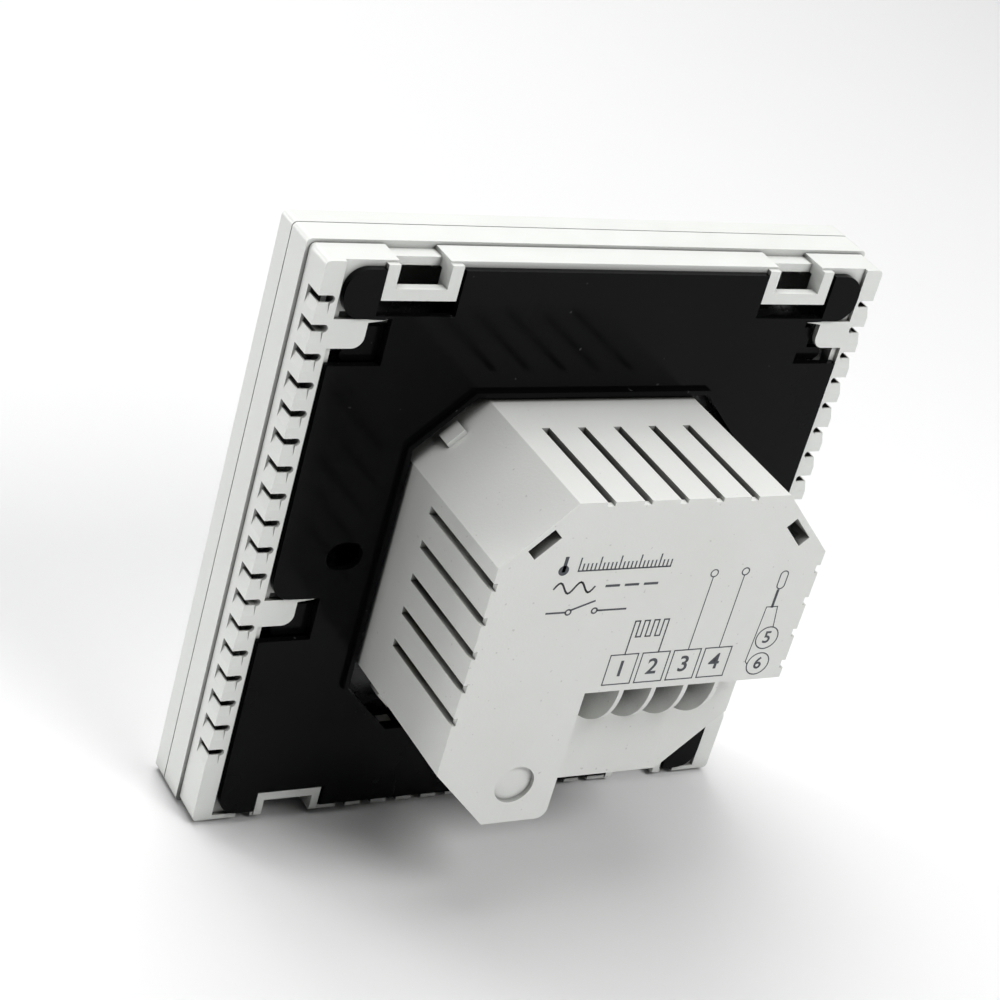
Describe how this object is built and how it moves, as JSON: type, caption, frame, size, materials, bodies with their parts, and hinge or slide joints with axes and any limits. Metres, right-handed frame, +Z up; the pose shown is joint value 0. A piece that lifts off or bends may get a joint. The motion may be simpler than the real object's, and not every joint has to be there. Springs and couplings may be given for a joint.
{
  "type": "wall thermostat",
  "caption": "Square wall thermostat for a flush wall box, with a hook-on black steel mounting plate, vented back cover, display, keys and a terminal box behind.",
  "frame": {"origin": "midway between the two wall screws, on the wall side face of the steel mounting plate", "axes": "+Z up, +Y into the wall, so the display faces -Y; +X along the wall to the right for someone facing the display"},
  "size_m": [0.086, 0.039, 0.086],
  "materials": {
    "black_steel": "glossy black stoving paint, slightly rippled",
    "housing_plastic": "fine satin moulded finish",
    "lens_plastic": "polished, dark tint",
    "lcd_glass": "polished",
    "light_guide": "polished clear moulding",
    "strip_rubber": "smooth layered silicone",
    "led_plastic": "clear resin on white body",
    "board_green": "solder-mask lacquer",
    "chip_plastic": "moulded epoxy",
    "steel": "zinc plated",
    "contact_brass": "plain contact metal",
    "plunger_plastic": "satin",
    "key_plastic": "satin",
    "sensor_epoxy": "dipped epoxy",
    "relay_plastic": "moulded case",
    "core_steel": "varnished laminations",
    "coil_tape": "polyester tape",
    "capacitor_sleeve": "shrink sleeve",
    "film_case": "moulded case",
    "varistor_coat": "dipped epoxy",
    "fuse_case": "moulded case",
    "terminal_green": "moulded polyamide"
  },
  "bodies": {
    "plate": {"mounting_plate": "black_steel"},
    "key_1": {"key_1": "key_plastic"},
    "plunger_1": {"plunger_1": "plunger_plastic"},
    "key_2": {"key_2": "key_plastic"},
    "plunger_2": {"plunger_2": "plunger_plastic"},
    "key_3": {"key_3": "key_plastic"},
    "plunger_3": {"plunger_3": "plunger_plastic"},
    "key_4": {"key_4": "key_plastic"},
    "plunger_4": {"plunger_4": "plunger_plastic"},
    "terminal_screw_1": {"terminal_screw_1": "steel"},
    "terminal_cage_1": {"terminal_cage_1": "contact_brass"},
    "terminal_screw_2": {"terminal_screw_2": "steel"},
    "terminal_cage_2": {"terminal_cage_2": "contact_brass"},
    "terminal_screw_3": {"terminal_screw_3": "steel"},
    "terminal_cage_3": {"terminal_cage_3": "contact_brass"},
    "terminal_screw_4": {"terminal_screw_4": "steel"},
    "terminal_cage_4": {"terminal_cage_4": "contact_brass"},
    "sensor_screw_1": {"sensor_screw_1": "steel"},
    "sensor_cage_1": {"sensor_cage_1": "contact_brass"},
    "sensor_screw_2": {"sensor_screw_2": "steel"},
    "sensor_cage_2": {"sensor_cage_2": "contact_brass"},
    "thermostat": {"back_cover": "housing_plastic", "mid_frame": "housing_plastic", "front_panel": "housing_plastic", "display_lens": "lens_plastic", "lcd_glass": "lcd_glass", "light_guide": "light_guide", "contact_strip": "strip_rubber", "backlight_leds": "led_plastic", "control_board": "board_green", "microcontroller": "chip_plastic", "board_chips": "chip_plastic", "watch_crystal": "steel", "backup_cell": "steel", "header_socket": "chip_plastic", "header_pins": "contact_brass", "tact_switches": "chip_plastic", "room_sensor": "sensor_epoxy", "board_screws": "steel", "power_box": "housing_plastic", "power_board": "board_green", "power_board_screws": "steel", "relay": "relay_plastic", "transformer_core": "core_steel", "transformer_coil": "coil_tape", "filter_capacitors": "capacitor_sleeve", "film_capacitor": "film_case", "varistor": "varistor_coat", "fuse": "fuse_case", "diodes": "chip_plastic", "terminal_block": "terminal_green", "sensor_terminal_block": "terminal_green", "terminal_pins": "contact_brass"}
  },
  "joints": [
    {"name": "hook_slide", "type": "slide", "parent": "plate", "child": "thermostat", "axis": [0, 0, 1], "range_m": [-0.0018, 0]},
    {"name": "key_1_press", "type": "slide", "parent": "thermostat", "child": "key_1", "axis": [0, 1, 0], "range_m": [0, 0.0003], "stiffness_N_per_m": 800},
    {"name": "plunger_1_press", "type": "slide", "parent": "thermostat", "child": "plunger_1", "axis": [0, 1, 0], "range_m": [0, 0.0003]},
    {"name": "key_2_press", "type": "slide", "parent": "thermostat", "child": "key_2", "axis": [0, 1, 0], "range_m": [0, 0.0003], "stiffness_N_per_m": 800},
    {"name": "plunger_2_press", "type": "slide", "parent": "thermostat", "child": "plunger_2", "axis": [0, 1, 0], "range_m": [0, 0.0003]},
    {"name": "key_3_press", "type": "slide", "parent": "thermostat", "child": "key_3", "axis": [0, 1, 0], "range_m": [0, 0.0003], "stiffness_N_per_m": 800},
    {"name": "plunger_3_press", "type": "slide", "parent": "thermostat", "child": "plunger_3", "axis": [0, 1, 0], "range_m": [0, 0.0003]},
    {"name": "key_4_press", "type": "slide", "parent": "thermostat", "child": "key_4", "axis": [0, 1, 0], "range_m": [0, 0.0003], "stiffness_N_per_m": 800},
    {"name": "plunger_4_press", "type": "slide", "parent": "thermostat", "child": "plunger_4", "axis": [0, 1, 0], "range_m": [0, 0.0003]},
    {"name": "terminal_screw_1_turn", "type": "hinge", "parent": "thermostat", "child": "terminal_screw_1", "pos_m": [0.002, 0.0156, -0.0104], "axis": [0, -1, 0], "range_deg": [0, 1080]},
    {"name": "terminal_cage_1_lift", "type": "slide", "parent": "thermostat", "child": "terminal_cage_1", "axis": [0, 1, 0], "range_m": [0, 0.0015]},
    {"name": "terminal_screw_2_turn", "type": "hinge", "parent": "thermostat", "child": "terminal_screw_2", "pos_m": [-0.00308, 0.0156, -0.0104], "axis": [0, -1, 0], "range_deg": [0, 1080]},
    {"name": "terminal_cage_2_lift", "type": "slide", "parent": "thermostat", "child": "terminal_cage_2", "axis": [0, 1, 0], "range_m": [0, 0.0015]},
    {"name": "terminal_screw_3_turn", "type": "hinge", "parent": "thermostat", "child": "terminal_screw_3", "pos_m": [-0.00816, 0.0156, -0.0104], "axis": [0, -1, 0], "range_deg": [0, 1080]},
    {"name": "terminal_cage_3_lift", "type": "slide", "parent": "thermostat", "child": "terminal_cage_3", "axis": [0, 1, 0], "range_m": [0, 0.0015]},
    {"name": "terminal_screw_4_turn", "type": "hinge", "parent": "thermostat", "child": "terminal_screw_4", "pos_m": [-0.01324, 0.0156, -0.0104], "axis": [0, -1, 0], "range_deg": [0, 1080]},
    {"name": "terminal_cage_4_lift", "type": "slide", "parent": "thermostat", "child": "terminal_cage_4", "axis": [0, 1, 0], "range_m": [0, 0.0015]},
    {"name": "sensor_screw_1_turn", "type": "hinge", "parent": "thermostat", "child": "sensor_screw_1", "pos_m": [-0.0185, 0.0156, -0.0104], "axis": [0, -1, 0], "range_deg": [0, 1080]},
    {"name": "sensor_cage_1_lift", "type": "slide", "parent": "thermostat", "child": "sensor_cage_1", "axis": [0, 1, 0], "range_m": [0, 0.0015]},
    {"name": "sensor_screw_2_turn", "type": "hinge", "parent": "thermostat", "child": "sensor_screw_2", "pos_m": [-0.0223, 0.0156, -0.0104], "axis": [0, -1, 0], "range_deg": [0, 1080]},
    {"name": "sensor_cage_2_lift", "type": "slide", "parent": "thermostat", "child": "sensor_cage_2", "axis": [0, 1, 0], "range_m": [0, 0.0015]}
  ],
  "couplings": [
    {"joint": "plunger_1_press", "follows": "key_1_press", "ratio": 1},
    {"joint": "plunger_2_press", "follows": "key_2_press", "ratio": 1},
    {"joint": "plunger_3_press", "follows": "key_3_press", "ratio": 1},
    {"joint": "plunger_4_press", "follows": "key_4_press", "ratio": 1},
    {"joint": "terminal_screw_1_turn", "follows": "terminal_cage_1_lift", "rad_per_m": 12566},
    {"joint": "terminal_screw_2_turn", "follows": "terminal_cage_2_lift", "rad_per_m": 12566},
    {"joint": "terminal_screw_3_turn", "follows": "terminal_cage_3_lift", "rad_per_m": 12566},
    {"joint": "terminal_screw_4_turn", "follows": "terminal_cage_4_lift", "rad_per_m": 12566},
    {"joint": "sensor_screw_1_turn", "follows": "sensor_cage_1_lift", "rad_per_m": 12566},
    {"joint": "sensor_screw_2_turn", "follows": "sensor_cage_2_lift", "rad_per_m": 12566}
  ]
}
